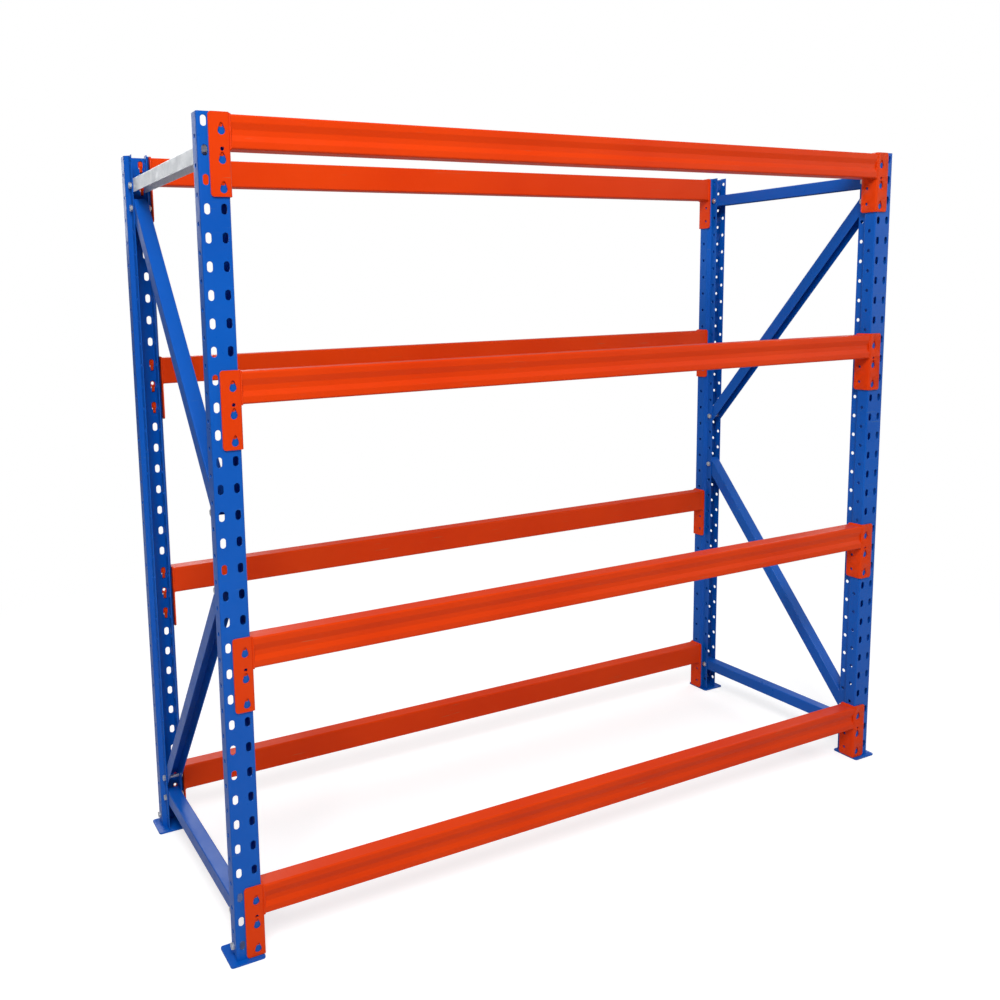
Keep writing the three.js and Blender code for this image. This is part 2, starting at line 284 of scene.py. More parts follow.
def powder_coat(name, colour, deep_colour, worn_colour, roughness, wear, gloss):
    material = bpy.data.materials.new(name)
    material.use_nodes = True
    tree = material.node_tree
    shader = tree.nodes["Principled BSDF"]
    shader.inputs["Metallic"].default_value = 0.0
    shader.inputs["IOR"].default_value = 1.5
    shader.inputs["Specular IOR Level"].default_value = gloss
    shader.inputs["Coat Weight"].default_value = gloss / 4
    shader.inputs["Coat Roughness"].default_value = 0.18
    surface = tree.nodes.new("ShaderNodeGroup")
    surface.node_tree = coat_surface
    surface.inputs["Peel"].default_value = COAT_PEEL
    surface.inputs["Dust"].default_value = COAT_DUST
    worn = tree.nodes.new("ShaderNodeGroup")
    worn.node_tree = scuffs
    worn.inputs["Amount"].default_value = wear
    tinted = add_mix(tree, surface.outputs["Shade"], colour, deep_colour)
    painted = add_mix(tree, worn.outputs["Mask"], tinted, worn_colour)
    tree.links.new(painted, shader.inputs["Base Color"])
    rough = add_math(tree, "ADD", surface.outputs["Dull"], roughness)
    scuffed = add_math(tree, "MULTIPLY", worn.outputs["Mask"], SCUFF_DULLNESS)
    rough = add_math(tree, "ADD", rough, scuffed)
    tree.links.new(rough, shader.inputs["Roughness"])
    bump = tree.nodes.new("ShaderNodeBump")
    bump.inputs["Strength"].default_value = 0.18
    bump.inputs["Distance"].default_value = 0.0006
    tree.links.new(surface.outputs["Height"], bump.inputs["Height"])
    tree.links.new(bump.outputs["Normal"], shader.inputs["Normal"])
    return material


def bare_metal(name, colour, deep_colour, roughness, spangle, metallic):
    material = bpy.data.materials.new(name)
    material.use_nodes = True
    tree = material.node_tree
    shader = tree.nodes["Principled BSDF"]
    shader.inputs["Metallic"].default_value = metallic
    place = tree.nodes.new("ShaderNodeTexCoord").outputs["Object"]
    crystals = tree.nodes.new("ShaderNodeTexVoronoi")
    crystals.inputs["Scale"].default_value = spangle
    tree.links.new(place, crystals.inputs["Vector"])
    flakes = add_range(tree, crystals.outputs["Color"], 0.0, 1.0, 0.0, 0.8)
    tree.links.new(add_mix(tree, flakes, colour, deep_colour), shader.inputs["Base Color"])
    smudge = add_noise(tree, place, 40.0, 4.0)
    tree.links.new(
        add_range(tree, smudge, 0.3, 0.7, roughness, roughness + 0.2), shader.inputs["Roughness"]
    )
    bump = tree.nodes.new("ShaderNodeBump")
    bump.inputs["Strength"].default_value = 0.12
    bump.inputs["Distance"].default_value = 0.0004
    tree.links.new(smudge, bump.inputs["Height"])
    tree.links.new(bump.outputs["Normal"], shader.inputs["Normal"])
    return material


blue_coat = powder_coat(
    "blue_powder_coat",
    colour=(0.001, 0.112, 0.54, 1),
    deep_colour=(0.001, 0.088, 0.46, 1),
    worn_colour=(0.08, 0.18, 0.32, 1),
    roughness=0.27,
    wear=0.5,
    gloss=0.26,
)
orange_coat = powder_coat(
    "orange_powder_coat",
    colour=(0.82, 0.056, 0.002, 1),
    deep_colour=(0.75, 0.042, 0.001, 1),
    worn_colour=(0.5, 0.14, 0.06, 1),
    roughness=0.3,
    wear=0.5,
    gloss=0.13,
)
zinc_plate = bare_metal(
    "zinc_plating",
    colour=(0.72, 0.74, 0.76, 1),
    deep_colour=(0.58, 0.61, 0.64, 1),
    roughness=0.28,
    spangle=220.0,
    metallic=0.85,
)
# Pale zinc for the left top brace, partly real zinc and partly painted highlight: its near-white
# colour stands in for the sheen on its top
zinc_and_painted_sheen = bare_metal(
    "zinc_and_painted_sheen_finish",
    colour=(0.88, 0.9, 0.92, 1),
    deep_colour=(0.74, 0.77, 0.81, 1),
    roughness=0.34,
    spangle=110.0,
    metallic=0.4,
)


# ---------------------------------------------------------------------------
# Uprights: steel strip, punched flat with slots and bolt holes, and then
# roll-formed into a wide slotted web, two side walls and a narrower neck that
# holds the braces. Both ends are sawn, and the whole is powder coated.
# ---------------------------------------------------------------------------
HOLE_POINTS = 24
CELL_ROWS = HOLE_POINTS // 4
MERGE_DISTANCE = 0.00002


def slot_outline(centre, width, height):
    """Outline of a slot with round ends, as a function of the angle round its centre."""
    radius = width / 2
    straight = (height - width) / 2

    def point(angle):
        x = radius * math.cos(angle)
        z = radius * math.sin(angle)
        if abs(z) > MERGE_DISTANCE:
            z += math.copysign(straight, z)
        return centre[0] + x, centre[1] + z

    return point


def edge_point(index, low, high):
    """Point number index round a cell's edge, counted from the middle of its right side."""
    side, step = divmod((index + CELL_ROWS // 2) % HOLE_POINTS, CELL_ROWS)
    part = step / CELL_ROWS
    width = high[0] - low[0]
    height = high[1] - low[1]
    return (
        (high[0], low[1] + part * height),
        (high[0] - part * width, high[1]),
        (low[0], high[1] - part * height),
        (low[0] + part * width, low[1]),
    )[side]


def flat_cell(low, high, across=CELL_ROWS, outline=None):
    """One cell of flat strip, plain or with a hole. Across the strip is X, along it is Z."""
    deselect_all()
    if outline is None:
        bpy.ops.mesh.primitive_grid_add(x_subdivisions=across, y_subdivisions=CELL_ROWS, size=1)
        cell = bpy.context.object
        for vertex in cell.data.vertices:
            x = low[0] + (vertex.co.x + 0.5) * (high[0] - low[0])
            z = low[1] + (vertex.co.y + 0.5) * (high[1] - low[1])
            vertex.co = (x, 0, z)
        return cell
    bpy.ops.mesh.primitive_circle_add(vertices=HOLE_POINTS, radius=1)
    cell = bpy.context.object
    for index, vertex in enumerate(cell.data.vertices):
        x, z = outline(2 * math.pi * index / HOLE_POINTS)
        vertex.co = (x, 0, z)
    bpy.ops.object.mode_set(mode="EDIT")
    bpy.ops.mesh.select_all(action="SELECT")
    bpy.ops.mesh.extrude_edges_move()
    bpy.ops.object.mode_set(mode="OBJECT")
    for edge in cell.data.edges:
        inner, outer = sorted(edge.vertices)
        if inner < HOLE_POINTS <= outer:
            x, z = edge_point(inner, low, high)
            cell.data.vertices[outer].co = (x, 0, z)
    return cell


def join_pieces(pieces, name):
    deselect_all()
    for piece in pieces:
        piece.select_set(True)
    bpy.context.view_layer.objects.active = pieces[0]
    if len(pieces) > 1:
        bpy.ops.object.join()
    joined = bpy.context.object
    joined.name = name
    joined.data.name = name
    return joined


def select_only(piece):
    deselect_all()
    piece.select_set(True)
    bpy.context.view_layer.objects.active = piece


def edit(piece, *steps):
    """Runs edit-mode steps on all of a piece's mesh."""
    select_only(piece)
    bpy.ops.object.mode_set(mode="EDIT")
    bpy.ops.mesh.select_all(action="SELECT")
    for step in steps:
        step()
    bpy.ops.object.mode_set(mode="OBJECT")


def weld_cells():
    bpy.ops.mesh.remove_doubles(threshold=MERGE_DISTANCE)


def make_consistent():
    bpy.ops.mesh.normals_make_consistent(inside=False)


def trim(height, above):
    """Cuts a strip across at a height and clears what is beyond it."""
    def cut():
        bpy.ops.mesh.select_all(action="SELECT")
        bpy.ops.mesh.bisect(
            plane_co=(0, 0, height), plane_no=(0, 0, 1), clear_outer=above, clear_inner=not above
        )
    return cut


def apply_modifier(piece, kind, **settings):
    select_only(piece)
    modifier = piece.modifiers.new(kind.lower(), kind)
    for label, value in settings.items():
        setattr(modifier, label, value)
    bpy.ops.object.modifier_apply(modifier=modifier.name)


SHARP_ANGLE = math.radians(50)
SMOOTH_ANGLE = math.radians(32)
THIN_EDGE = 0.0003


def smooth_flats(piece, angle=SMOOTH_ANGLE):
    """Smooths a piece's shading across its bends, and leaves its flats flat."""
    select_only(piece)
    bpy.ops.object.shade_smooth_by_angle(angle=angle)
    apply_modifier(piece, "WEIGHTED_NORMAL", keep_sharp=True)


def soften(piece, width, segments=2):
    """Breaks a finished piece's sharp edges and smooths its shading."""
    apply_modifier(
        piece,
        "BEVEL",
        width=width,
        segments=segments,
        limit_method="ANGLE",
        angle_limit=SHARP_ANGLE,
    )
    smooth_flats(piece)


def rolled_section(corners, radius):
    """The runs and bends of a section. Each is its length and a function from the distance
    along it to a point. The section's outer face is on the right of its direction."""
    stretches = []
    start = Vector(corners[0])
    for index in range(1, len(corners)):
        corner = Vector(corners[index])
        heading = (corner - start).normalized()
        if index == len(corners) - 1:
            run = (corner - start).length
            stretches.append((run, lambda s, a=start, h=heading: a + h * s))
            break
        after = (Vector(corners[index + 1]) - corner).normalized()
        cross = heading.x * after.y - heading.y * after.x
        turn = math.atan2(cross, heading.dot(after))
        tangent = radius * math.tan(abs(turn) / 2)
        bend_start = corner - heading * tangent
        run = (bend_start - start).length
        stretches.append((run, lambda s, a=start, h=heading: a + h * s))
        hand = math.copysign(1, turn)
        arm = Vector((heading.y, -heading.x)) * hand * radius
        centre = bend_start - arm

        def on_bend(s, centre=centre, arm=arm, hand=hand):
            return centre + Matrix.Rotation(hand * s / radius, 2) @ arm

        stretches.append((radius * abs(turn), on_bend))
        start = corner + after * tangent
    return stretches


def roll_form(piece, stretches):
    """Bends a flat strip, which starts at X = 0, round a section."""
    for vertex in piece.data.vertices:
        left = vertex.co.x
        for number, (length, place) in enumerate(stretches):
            if left <= length + MERGE_DISTANCE or number == len(stretches) - 1:
                point = place(left)
                break
            left -= length
        vertex.co = (point.x, point.y, vertex.co.z)
    piece.data.update()


def face_outwards(strip):
    """Turns a flat strip's faces alike, with its outer face to the front."""
    edit(strip, make_consistent)
    if sum(face.area * face.normal.y for face in strip.data.polygons) > 0:
        strip.data.flip_normals()


def copied(piece, name, matrix, mirrored=False):
    """A copy with its own mesh, placed by moving the mesh and not the object."""
    mesh = piece.data.copy()
    mesh.transform(matrix)
    if mirrored:
        mesh.flip_normals()
    twin = bpy.data.objects.new(name, mesh)
    scene.collection.objects.link(twin)
    return twin


def stand_in(piece, node, body, material):
    """A finished piece takes its node's place, its body and its finish."""
    piece.data.materials.clear()
    piece.data.materials.append(material)
    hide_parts(node)
    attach(piece, body)


HALF_TURN = Matrix.Rotation(math.pi, 4, "Z")
post_low, post_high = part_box("upright_front_left")
POST_WIDTH = post_high.x - post_low.x
POST_DEPTH = post_high.y - post_low.y
POST_WALL = 0.002
POST_BEND = 0.003
NECK_WIDTH = 0.036
STEP_START = 0.030
STEP_END = 0.036
SLOT_PITCH = 0.050
SLOT_WIDTH = 0.011
SLOT_HEIGHT = 0.019
SLOT_INSET = 0.0125
TOP_SLOT_DROP = 0.016
TOP_SLOT = post_high.z - TOP_SLOT_DROP
SLOT_ROWS = 32
SIDE_HOLE = 0.0085
SIDE_HOLE_DEPTH = 0.016
NECK_HOLE = 0.0092
BOLT_DEPTH = 0.046
BEND_COLUMNS = 3

half = POST_WIDTH / 2
neck = NECK_WIDTH / 2
post_section = rolled_section(
    [
        (-neck, POST_DEPTH),
        (-neck, STEP_END),
        (-half, STEP_START),
        (-half, 0),
        (half, 0),
        (half, STEP_START),
        (neck, STEP_END),
        (neck, POST_DEPTH),
    ],
    POST_BEND,
)
strip_ends = [0.0]
for stretch_length, _ in post_section:
    strip_ends.append(strip_ends[-1] + stretch_length)
strip_width = strip_ends[-1]
strip_middle = strip_width / 2

# Which stretches carry holes: the necks, the sides and, as two columns, the web
NECKS = (0, 12)
SIDES = (4, 8)
WEB = 6
cells = []
for number, start in enumerate(strip_ends[:-1]):
    end = strip_ends[number + 1]
    low, high = -SLOT_PITCH / 2, SLOT_PITCH / 2
    if number in NECKS:
        depth = POST_DEPTH - BOLT_DEPTH
        centre = depth if number == NECKS[0] else strip_width - depth
        hole = slot_outline((centre, 0), NECK_HOLE, NECK_HOLE)
        cells.append(flat_cell((start, low), (end, high), outline=hole))
    elif number in SIDES:
        up = SIDE_HOLE_DEPTH - POST_BEND
        centre = end - up if number == SIDES[0] else start + up
        shift = SLOT_PITCH / 2
        hole = slot_outline((centre, shift), SIDE_HOLE, SIDE_HOLE)
        cells.append(flat_cell((start, low + shift), (end, high + shift), outline=hole))
    elif number == WEB:
        column = half - SLOT_INSET
        for left, right, centre in (
            (start, strip_middle, strip_middle - column),
            (strip_middle, end, strip_middle + column),
        ):
            hole = slot_outline((centre, 0), SLOT_WIDTH, SLOT_HEIGHT)
            cells.append(flat_cell((left, low), (right, high), outline=hole))
    else:
        across = BEND_COLUMNS if number % 2 else 1
        cells.append(flat_cell((start, low), (end, high), across=across))

post = join_pieces(cells, "upright_front_left_rolled")
edit(post, weld_cells)
face_outwards(post)
apply_modifier(
    post,
    "ARRAY",
    count=SLOT_ROWS + 2,
    use_relative_offset=False,
    use_constant_offset=True,
    constant_offset_displace=(0, 0, -SLOT_PITCH),
    use_merge_vertices=True,
    merge_threshold=MERGE_DISTANCE,
)
post.data.transform(Matrix.Translation((0, 0, TOP_SLOT + SLOT_PITCH)))
edit(post, weld_cells, trim(post_high.z, True), trim(post_low.z, False))
roll_form(post, post_section)
apply_modifier(post, "SOLIDIFY", thickness=POST_WALL, offset=-1, use_even_offset=True)
soften(post, THIN_EDGE, segments=1)

post_reach = -(post_low.x + post_high.x) / 2
frame_front = post_low.y
post.data.transform(Matrix.Translation((-post_reach, frame_front, 0)))
along = Matrix.Translation((2 * post_reach, 0, 0))
posts = {
    "upright_front_left": post,
    "upright_front_right": copied(post, "upright_front_right_rolled", along),
    "upright_rear_right": copied(post, "upright_rear_right_rolled", HALF_TURN),
    "upright_rear_left": copied(post, "upright_rear_left_rolled", HALF_TURN @ along),
}
for node, piece in posts.items():
    stand_in(piece, node, "frames", blue_coat)


# ---------------------------------------------------------------------------
# Feet: a thick floor plate with rounded corners, and a tongue welded on it that
# stands against the inside of the upright's outer wall, where a bolt holds it.
# ---------------------------------------------------------------------------
FOOT_THICKNESS = 0.004
FOOT_CORNER = 0.006
TONGUE_WIDTH = 0.022
TONGUE_THICKNESS = 0.003
TONGUE_GAP = 0.0003
THICK_EDGE = 0.0005


def box_piece(name, low, high):
    """A box between two corners, made from a primitive cube."""
    deselect_all()
    bpy.ops.mesh.primitive_cube_add(size=1)
    piece = bpy.context.object
    middle = (Vector(low) + Vector(high)) / 2
    stretch = Matrix.Diagonal((*(Vector(high) - Vector(low)), 1))
    piece.data.transform(Matrix.Translation(middle) @ stretch)
    piece.name = name
    piece.data.name = name
    return piece


def bevel_edges(piece, picks, width, segments):
    """Rounds the edges whose two ends and direction pass a test."""
    select_only(piece)
    bpy.ops.object.mode_set(mode="EDIT")
    bpy.ops.mesh.select_mode(type="EDGE")
    bpy.ops.mesh.select_all(action="DESELECT")
    mesh = bmesh.from_edit_mesh(piece.data)
    for line in mesh.edges:
        line.select = picks(line.verts[0].co, line.verts[1].co)
    bmesh.update_edit_mesh(piece.data)
    bpy.ops.mesh.bevel(offset=width, segments=segments, affect="EDGES")
    bpy.ops.object.mode_set(mode="OBJECT")


def is_upright_edge(first, second):
    return abs(first.x - second.x) + abs(first.y - second.y) < MERGE_DISTANCE


def is_crosswise_edge(first, second):
    return abs(first.y - second.y) + abs(first.z - second.z) < MERGE_DISTANCE


plate_low, plate_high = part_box("foot_front_left")
bolt_low, bolt_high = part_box("foot_bolt_front_left")
foot_bolt_middle = (bolt_low + bolt_high) / 2
foot_plate = box_piece(
    "foot_plate", plate_low, (plate_high.x, plate_high.y, plate_low.z + FOOT_THICKNESS)
)
bevel_edges(foot_plate, is_upright_edge, FOOT_CORNER, 5)

# The tongue is a strip with a bolt hole, stood on edge in the upright
tongue_face = post_low.x + POST_WALL + TONGUE_GAP
tongue_low = FOOT_THICKNESS / 2
hole_cell_low = foot_bolt_middle.z - TONGUE_WIDTH / 2
hole_cell_high = foot_bolt_middle.z + TONGUE_WIDTH / 2
tongue_cells = [
    flat_cell((0, tongue_low), (TONGUE_WIDTH, hole_cell_low)),
    flat_cell(
        (0, hole_cell_low),
        (TONGUE_WIDTH, hole_cell_high),
        outline=slot_outline((TONGUE_WIDTH / 2, foot_bolt_middle.z), NECK_HOLE, NECK_HOLE),
    ),
    flat_cell((0, hole_cell_high), (TONGUE_WIDTH, plate_high.z)),
]
tongue = join_pieces(tongue_cells, "foot_tongue")
edit(tongue, weld_cells)
face_outwards(tongue)
quarter_turn = Matrix.Rotation(-math.pi / 2, 4, "Z")
tongue_place = Matrix.Translation((tongue_face, foot_bolt_middle.y + TONGUE_WIDTH / 2, 0))
tongue.data.transform(tongue_place @ quarter_turn)
apply_modifier(tongue, "SOLIDIFY", thickness=TONGUE_THICKNESS, offset=-1)

foot = join_pieces([foot_plate, tongue], "foot_front_left_plate")
soften(foot, THICK_EDGE)
mirror_x = Matrix.Diagonal((-1, 1, 1, 1))
feet = {
    "foot_front_left": foot,
    "foot_front_right": copied(foot, "foot_front_right_plate", mirror_x, True),
    "foot_rear_right": copied(foot, "foot_rear_right_plate", HALF_TURN),
    "foot_rear_left": copied(foot, "foot_rear_left_plate", HALF_TURN @ mirror_x, True),
}
for node, piece in feet.items():
    stand_in(piece, node, "frames", blue_coat)


# ---------------------------------------------------------------------------
# Connectors: thick strip, pressed with three drop-shaped windows and a pin hole,
# then folded round the upright's corner. The metal of each window is turned in
# as a hook that drops behind the upright's web.
# ---------------------------------------------------------------------------
CONNECTOR_THICKNESS = 0.003
CONNECTOR_BEND = 0.004
CONNECTOR_CORNER = 0.0065
WINDOW_WIDTH = 0.014
WINDOW_HEIGHT = 0.021
WINDOW_TOP_RADIUS = 0.0032
WINDOW_DROP = 0.0127
PIN_HOLE = 0.0072
PIN_CELL_LOW = 0.0008
PIN_CELL_HIGH = 0.0098
SIDE_LEG_HOLE = 0.008
SIDE_LEG_SHARE_TOP = 0.4
SIDE_LEG_SHARE = 0.62
CONNECTOR_BEND_COLUMNS = 4
CONNECTOR_ABOVE_SLOT = 0.016
HOOK_COUNT = 3
HOOK_WIDTH = 0.006
HOOK_NECK = 0.009
HOOK_DROP = 0.008
HOOK_THICKNESS = 0.003
HOOK_CLEARANCE = 0.0005
HOOK_SEAT = 0.0092
HOOK_CHAMFER = 0.002
HOOK_ROOT = 0.0004
HOOK_EDGE = 0.0004


def drop_outline(centre):
    """Outline of a drop: a wide round bottom joined by straight sides to a small round top."""
    wide = WINDOW_WIDTH / 2
    low = centre[1] - WINDOW_HEIGHT / 2 + wide
    high = centre[1] + WINDOW_HEIGHT / 2 - WINDOW_TOP_RADIUS
    lean = math.asin((wide - WINDOW_TOP_RADIUS) / (high - low))

    def point(angle):
        at_top = math.sin(angle) > math.sin(lean)
        radius, height = (WINDOW_TOP_RADIUS, high) if at_top else (wide, low)
        return centre[0] + radius * math.cos(angle), height + radius * math.sin(angle)

    return point


plate_low, plate_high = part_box("connector_front_4_left")
top_slot = plate_high.z - CONNECTOR_ABOVE_SLOT
front_leg_end = plate_low.x
connector_front = plate_low.y
connector_section = rolled_section(
    [
        (front_leg_end, connector_front),
        (plate_high.x, connector_front),
        (plate_high.x, plate_high.y),
    ],
    CONNECTOR_BEND,
)
front_leg, bend, side_leg = (length for length, _ in connector_section)
slot_column = post_high.x - SLOT_INSET - front_leg_end
window_middle = top_slot - WINDOW_DROP
pin_row_low = window_middle - SLOT_PITCH + WINDOW_HEIGHT / 2 + PIN_CELL_LOW
pin_row_high = window_middle - SLOT_PITCH + WINDOW_HEIGHT / 2 + PIN_CELL_HIGH
rows = [
    (pin_row_high, plate_high.z, "window", window_middle),
    (pin_row_low, pin_row_high, "pin", (pin_row_low + pin_row_high) / 2),
    (window_middle - 1.5 * SLOT_PITCH, pin_row_low, "window", window_middle - SLOT_PITCH),
    (plate_low.z, window_middle - 1.5 * SLOT_PITCH, "window", window_middle - 2 * SLOT_PITCH),
]
cells = []
for number, (low, high, kind, height) in enumerate(rows):
    if kind == "pin":
        hole = slot_outline((slot_column, height), PIN_HOLE, PIN_HOLE)
    else:
        hole = drop_outline((slot_column, height))
    cells.append(flat_cell((0, low), (front_leg, high), outline=hole))
    start = front_leg + bend
    cells.append(flat_cell((front_leg, low), (start, high), across=CONNECTOR_BEND_COLUMNS))
    end = start + side_leg
    if kind == "pin":
        cells.append(flat_cell((start, low), (end, high)))
    else:
        share = SIDE_LEG_SHARE if number else SIDE_LEG_SHARE_TOP
        across = start + side_leg * share
        hole = slot_outline((across, (low + high) / 2), SIDE_LEG_HOLE, SIDE_LEG_HOLE)
        cells.append(flat_cell((start, low), (end, high), outline=hole))
plate = join_pieces(cells, "connector_plate")
edit(plate, weld_cells)
face_outwards(plate)
roll_form(plate, connector_section)
apply_modifier(plate, "SOLIDIFY", thickness=CONNECTOR_THICKNESS, offset=-1, use_even_offset=True)


def is_free_corner(first, second):
    """An edge through the plate's thickness at one of its four free corners."""
    for point in (first, second):
        at_end = min(abs(point.z - plate_low.z), abs(point.z - plate_high.z))
        at_side = min(abs(point.x - front_leg_end), abs(point.y - plate_high.y))
        if at_end > MERGE_DISTANCE or at_side > MERGE_DISTANCE:
            return False
    return abs((first - second).length - CONNECTOR_THICKNESS) < MERGE_DISTANCE


bevel_edges(plate, is_free_corner, CONNECTOR_CORNER, 5)
soften(plate, THICK_EDGE)

# One hook, drawn as its side outline and pushed to its width
hook_seat = top_slot - HOOK_SEAT
web_face = frame_front
hook_back = web_face + POST_WALL + HOOK_CLEARANCE
hook_rear = hook_back + HOOK_THICKNESS
hook_front = connector_front + CONNECTOR_THICKNESS - HOOK_ROOT
hook_side = [
    (hook_front, hook_seat + HOOK_NECK),
    (hook_back, hook_seat + HOOK_NECK),
    (hook_rear, hook_seat + HOOK_NECK - HOOK_CHAMFER),
    (hook_rear, hook_seat - HOOK_DROP + HOOK_CHAMFER),
    (hook_rear - HOOK_CHAMFER, hook_seat - HOOK_DROP),
    (hook_back, hook_seat - HOOK_DROP),
    (hook_back, hook_seat),
    (web_face, hook_seat),
    (hook_front, hook_seat + HOOK_NECK - HOOK_CHAMFER),
]
deselect_all()
bpy.ops.mesh.primitive_circle_add(vertices=len(hook_side), radius=1, fill_type="NGON")
hook = bpy.context.object
hook_x = front_leg_end + slot_column
for vertex, (y, z) in zip(hook.data.vertices, hook_side):
    vertex.co = (hook_x - HOOK_WIDTH / 2, y, z)
edit(
    hook,
    lambda: bpy.ops.mesh.extrude_region_move(
        TRANSFORM_OT_translate={"value": (HOOK_WIDTH, 0, 0)}
    ),
)
edit(hook, make_consistent)
soften(hook, HOOK_EDGE)
hooks = [hook]
for index in range(1, HOOK_COUNT):
    hooks.append(copied(hook, "hook", Matrix.Translation((0, 0, -index * SLOT_PITCH))))
connector = join_pieces([plate, *hooks], "connector_front_4_left_pressed")

for face, turn in (("front", Matrix.Identity(4)), ("rear", HALF_TURN)):
    for level in range(1, 5):
        for side in ("left", "right"):
            node = f"connector_{face}_{level}_{side}"
            if node == "connector_front_4_left":
                continue
            mirrored = (side == "right") == (face == "front")
            drop = Matrix.Translation((0, 0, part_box(node)[1].z - plate_high.z))
            place = turn @ drop @ (mirror_x if mirrored else Matrix.Identity(4))
            twin = copied(connector, node + "_pressed", place, mirrored)
            stand_in(twin, node, f"beam_{face}_{level}_set", orange_coat)
stand_in(connector, "connector_front_4_left", "beam_front_4_set", orange_coat)


# ---------------------------------------------------------------------------
# Beams: tube rolled from thin strip, with rounded corners and a long shallow
# groove in its front that stiffens it. The ends are welded to the connectors.
# ---------------------------------------------------------------------------
BEAM_WALL = 0.0015
BEAM_ROUND = 0.004
GROOVE_DEPTH = 0.0035
GROOVE_ROUND = 0.001
BEAM_SMOOTH_ANGLE = math.radians(25)
GROOVE_LINES = (0.014, 0.024, 0.034, 0.046)

beam_low, beam_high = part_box("beam_front_4")
beam = box_piece("beam_front_4_tube", beam_low, beam_high)


def cut_groove():
    for line in GROOVE_LINES:
        bpy.ops.mesh.select_all(action="SELECT")
        bpy.ops.mesh.bisect(plane_co=(0, 0, beam_low.z + line), plane_no=(0, 0, 1))
    bpy.ops.mesh.select_all(action="DESELECT")
    mesh = bmesh.from_edit_mesh(beam.data)
    for vertex in mesh.verts:
        rise = vertex.co.z - beam_low.z
        in_groove = GROOVE_LINES[1] - MERGE_DISTANCE < rise < GROOVE_LINES[2] + MERGE_DISTANCE
        vertex.select = in_groove and abs(vertex.co.y - beam_low.y) < MERGE_DISTANCE
    mesh.select_flush(True)
    bmesh.update_edit_mesh(beam.data)
    bpy.ops.transform.translate(value=(0, GROOVE_DEPTH, 0))


edit(beam, cut_groove)


def is_outer_corner(first, second):
    """A long edge at one of the section's four corners."""
    at_side = min(abs(first.y - beam_low.y), abs(first.y - beam_high.y)) < MERGE_DISTANCE
    at_end = min(abs(first.z - beam_low.z), abs(first.z - beam_high.z)) < MERGE_DISTANCE
    return is_crosswise_edge(first, second) and at_side and at_end


def is_groove_line(first, second):
    rise = first.z - beam_low.z
    near = min(abs(rise - line) for line in GROOVE_LINES) < MERGE_DISTANCE
    return is_crosswise_edge(first, second) and near and first.y < (beam_low.y + beam_high.y) / 2


bevel_edges(beam, is_groove_line, GROOVE_ROUND, 2)
bevel_edges(beam, is_outer_corner, BEAM_ROUND, 6)


def open_ends():
    bpy.ops.mesh.select_mode(type="FACE")
    bpy.ops.mesh.select_all(action="DESELECT")
    mesh = bmesh.from_edit_mesh(beam.data)
    for side in mesh.faces:
        side.select = abs(side.normal.x) > 0.9
    bmesh.update_edit_mesh(beam.data)
    bpy.ops.mesh.delete(type="FACE")


edit(beam, open_ends)
apply_modifier(beam, "SOLIDIFY", thickness=BEAM_WALL, offset=-1, use_even_offset=True)
smooth_flats(beam, BEAM_SMOOTH_ANGLE)

# Weld beads round each end of a beam, as overlapping ripples of uneven size
BEAD_RADIUS = 0.0021
BEAD_STEP = 0.0012
BEAD_SINK = 0.0004
BEAD_INSET = 0.0015
BEAD_UNEVENNESS = 0.06
BEAD_WAVES = (2.3, 0.7)


def weld_bead(start, end):
    """A row of ripples between two points."""
    line = Vector(end) - Vector(start)
    count = int(line.length / BEAD_STEP)
    deselect_all()
    bpy.ops.mesh.primitive_uv_sphere_add(segments=8, ring_count=6, radius=BEAD_RADIUS)
    bead = bpy.context.object
    bpy.ops.object.shade_smooth()
    ripple_size = len(bead.data.vertices)
    apply_modifier(
        bead,
        "ARRAY",
        count=count,
        use_relative_offset=False,
        use_constant_offset=True,
        constant_offset_displace=line.normalized() * BEAD_STEP,
    )
    for number, vertex in enumerate(bead.data.vertices):
        ripple = number // ripple_size
        middle = line.normalized() * BEAD_STEP * ripple
        wave = math.sin(ripple * BEAD_WAVES[0]) * math.cos(ripple * BEAD_WAVES[1])
        swell = 1 + BEAD_UNEVENNESS * wave
        vertex.co = middle + (vertex.co - middle) * swell
    bead.data.transform(Matrix.Translation(start))
    return bead


beads = []
for end in (-1, 1):
    bead_x = end * (beam_high.x - BEAD_SINK)
    corners = [
        (bead_x, beam_low.y + BEAD_SINK + BEAM_ROUND / 4, beam_low.z + BEAD_INSET),
        (bead_x, beam_low.y + BEAD_SINK + BEAM_ROUND / 4, beam_high.z - BEAD_INSET),
        (bead_x, beam_high.y - BEAD_SINK, beam_low.z + BEAD_INSET),
        (bead_x, beam_high.y - BEAD_SINK, beam_high.z - BEAD_INSET),
        (bead_x, beam_low.y + BEAD_INSET, beam_high.z - BEAD_SINK),
        (bead_x, beam_high.y - BEAD_INSET, beam_high.z - BEAD_SINK),
        (bead_x, beam_low.y + BEAD_INSET, beam_low.z + BEAD_SINK),
        (bead_x, beam_high.y - BEAD_INSET, beam_low.z + BEAD_SINK),
    ]
    for start, stop in zip(corners[::2], corners[1::2]):
        beads.append(weld_bead(start, stop))
beam = join_pieces([beam, *beads], "beam_front_4_tube")
for face, turn in (("front", Matrix.Identity(4)), ("rear", HALF_TURN)):
    for level in range(1, 5):
        node = f"beam_{face}_{level}"
        if node == "beam_front_4":
            continue
        drop = Matrix.Translation((0, 0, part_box(node)[1].z - beam_high.z))
        twin = copied(beam, node + "_tube", turn @ drop)
        stand_in(twin, node, f"beam_{face}_{level}_set", orange_coat)
stand_in(beam, "beam_front_4", "beam_front_4_set", orange_coat)


